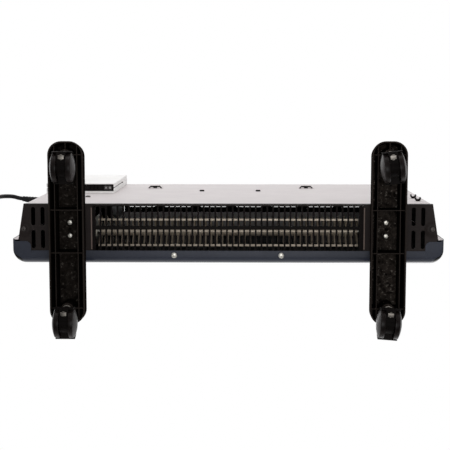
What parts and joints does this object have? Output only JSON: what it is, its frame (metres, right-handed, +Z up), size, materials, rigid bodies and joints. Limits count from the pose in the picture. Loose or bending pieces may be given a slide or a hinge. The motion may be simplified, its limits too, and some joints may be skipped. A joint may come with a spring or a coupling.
{
  "type": "convector heater",
  "caption": "Slim electric convector heater on castor feet, with a finned element behind an inlet grille, a top outlet grille, a rear control unit and a mains cord.",
  "frame": {"origin": "on the floor under the middle of the heater, width and depth taken over its feet and castors", "axes": "+X to the right of somebody in front of it, +Y to the rear, +Z up"},
  "size_m": [0.7622, 0.2851, 0.5],
  "materials": {
    "panel_paint": "satin slate paint",
    "casing_paint": "satin warm grey paint",
    "plate_paint": "satin brown-black paint",
    "grille_plastic": "matt black",
    "black_plastic": "soft satin",
    "wheel_plastic": "satin to gloss",
    "knob_plastic": "satin",
    "pale_plastic": "satin",
    "ceramic": "matt ceramic",
    "wire_jacket": "silicone",
    "zinc": "bright zinc",
    "black_steel": "black oxide",
    "element_alloy": "cast, lightly oxidised",
    "lens": "clear amber-red",
    "cord_jacket": "satin black",
    "brass": "bare",
    "pin_nickel": "nickel plated"
  },
  "bodies": {
    "heater": {"front_panel": "panel_paint", "rear_casing": "casing_paint", "bottom_plate": "plate_paint", "inlet_grille": "grille_plastic", "outlet_grille": "casing_paint", "element_body": "element_alloy", "element_rod": "zinc", "element_bushes": "ceramic", "bracket_left": "zinc", "bracket_right": "zinc", "limit_thermostat": "zinc", "terminal_block": "ceramic", "internal_wires": "wire_jacket", "control_frame": "pale_plastic", "control_housing": "black_plastic", "control_cover": "pale_plastic", "control_panel": "black_plastic", "thermostat": "ceramic", "heat_switch_body": "black_plastic", "power_switch_body": "black_plastic", "lamp_lens": "lens", "cord_clips": "black_plastic", "wall_bushes": "black_plastic", "zinc_screws": "zinc", "plate_screws": "black_steel", "unit_screw": "black_steel", "foot_left": "black_plastic", "foot_right": "black_plastic", "cord_gland": "cord_jacket", "cord_lead": "cord_jacket", "cord_coil": "cord_jacket", "cord_tail": "cord_jacket", "cord_tie": "black_plastic", "plug_body": "cord_jacket", "plug_pins": "pin_nickel", "plug_earth_clips": "brass"},
    "knob": {"thermostat_shaft": "zinc", "thermostat_knob": "knob_plastic"},
    "heat_rocker": {"heat_rocker": "knob_plastic"},
    "power_rocker": {"power_rocker": "pale_plastic"},
    "castor_fl": {"castor_fl_body": "wheel_plastic", "castor_fl_stem": "zinc", "castor_fl_axle": "zinc"},
    "castor_fl_wheel_in": {"castor_fl_wheel_in": "wheel_plastic"},
    "castor_fl_wheel_out": {"castor_fl_wheel_out": "wheel_plastic"},
    "castor_fr": {"castor_fr_body": "wheel_plastic", "castor_fr_stem": "zinc", "castor_fr_axle": "zinc"},
    "castor_fr_wheel_in": {"castor_fr_wheel_in": "wheel_plastic"},
    "castor_fr_wheel_out": {"castor_fr_wheel_out": "wheel_plastic"},
    "castor_rl": {"castor_rl_body": "wheel_plastic", "castor_rl_stem": "zinc", "castor_rl_axle": "zinc"},
    "castor_rl_wheel_in": {"castor_rl_wheel_in": "wheel_plastic"},
    "castor_rl_wheel_out": {"castor_rl_wheel_out": "wheel_plastic"},
    "castor_rr": {"castor_rr_body": "wheel_plastic", "castor_rr_stem": "zinc", "castor_rr_axle": "zinc"},
    "castor_rr_wheel_in": {"castor_rr_wheel_in": "wheel_plastic"},
    "castor_rr_wheel_out": {"castor_rr_wheel_out": "wheel_plastic"}
  },
  "joints": [
    {"name": "thermostat_turn", "type": "hinge", "parent": "heater", "child": "knob", "pos_m": [0.218, 0.0224, 0.484], "axis": [0, 0, 1], "range_deg": [-270, 0]},
    {"name": "heat_rocker_tilt", "type": "hinge", "parent": "heater", "child": "heat_rocker", "pos_m": [0.256, 0.0224, 0.4818], "axis": [1, 0, 0], "range_deg": [-16, 0]},
    {"name": "power_rocker_tilt", "type": "hinge", "parent": "heater", "child": "power_rocker", "pos_m": [0.201, 0.05635, 0.2862], "axis": [0, 1, 0], "range_deg": [-16, 0]},
    {"name": "castor_fl_swivel", "type": "hinge", "parent": "heater", "child": "castor_fl", "pos_m": [-0.2333, -0.1028, 0.045], "axis": [0, 0, 1], "continuous": true},
    {"name": "castor_fl_roll_in", "type": "hinge", "parent": "castor_fl", "child": "castor_fl_wheel_in", "pos_m": [-0.23209, -0.11815, 0.021], "axis": [0.9969, 0.0785, 0], "continuous": true},
    {"name": "castor_fl_roll_out", "type": "hinge", "parent": "castor_fl", "child": "castor_fl_wheel_out", "pos_m": [-0.23209, -0.11815, 0.021], "axis": [0.9969, 0.0785, 0], "continuous": true},
    {"name": "castor_fr_swivel", "type": "hinge", "parent": "heater", "child": "castor_fr", "pos_m": [0.2333, -0.1028, 0.045], "axis": [0, 0, 1], "continuous": true},
    {"name": "castor_fr_roll_in", "type": "hinge", "parent": "castor_fr", "child": "castor_fr_wheel_in", "pos_m": [0.2333, -0.1182, 0.021], "axis": [1, 0, 0], "continuous": true},
    {"name": "castor_fr_roll_out", "type": "hinge", "parent": "castor_fr", "child": "castor_fr_wheel_out", "pos_m": [0.2333, -0.1182, 0.021], "axis": [1, 0, 0], "continuous": true},
    {"name": "castor_rl_swivel", "type": "hinge", "parent": "heater", "child": "castor_rl", "pos_m": [-0.2333, 0.1212, 0.045], "axis": [0, 0, 1], "continuous": true},
    {"name": "castor_rl_roll_in", "type": "hinge", "parent": "castor_rl", "child": "castor_rl_wheel_in", "pos_m": [-0.23518, 0.10591, 0.021], "axis": [0.9925, -0.1219, 0], "continuous": true},
    {"name": "castor_rl_roll_out", "type": "hinge", "parent": "castor_rl", "child": "castor_rl_wheel_out", "pos_m": [-0.23518, 0.10591, 0.021], "axis": [0.9925, -0.1219, 0], "continuous": true},
    {"name": "castor_rr_swivel", "type": "hinge", "parent": "heater", "child": "castor_rr", "pos_m": [0.2333, 0.1212, 0.045], "axis": [0, 0, 1], "continuous": true},
    {"name": "castor_rr_roll_in", "type": "hinge", "parent": "castor_rr", "child": "castor_rr_wheel_in", "pos_m": [0.2333, 0.1058, 0.021], "axis": [1, 0, 0], "continuous": true},
    {"name": "castor_rr_roll_out", "type": "hinge", "parent": "castor_rr", "child": "castor_rr_wheel_out", "pos_m": [0.2333, 0.1058, 0.021], "axis": [1, 0, 0], "continuous": true}
  ]
}
